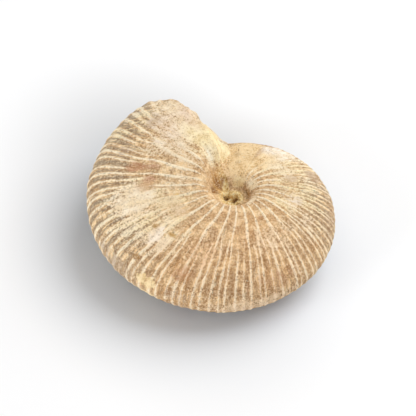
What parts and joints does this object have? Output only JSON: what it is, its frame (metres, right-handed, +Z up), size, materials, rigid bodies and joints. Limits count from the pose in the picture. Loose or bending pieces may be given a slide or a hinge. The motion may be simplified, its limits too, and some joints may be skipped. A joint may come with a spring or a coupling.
{
  "type": "ammonite fossil",
  "caption": "Coiled ammonite fossil in stone: ribbed outer whorl, narrow umbilicus on each side and a broken, sediment-filled aperture.",
  "frame": {"origin": "bottom centre of the bounding box, on the surface the fossil lies on", "axes": "+Z up, through the fossil as it lies on its side; -Y towards the viewer, +X to the viewer's right, with the broken aperture at the upper left seen from above"},
  "size_m": [0.0812, 0.0804, 0.0338],
  "materials": {
    "stone": "matt, grainy limestone, tan between the ribs and cream on their crests"
  },
  "bodies": {
    "root": {"ammonite": "stone"}
  },
  "joints": []
}
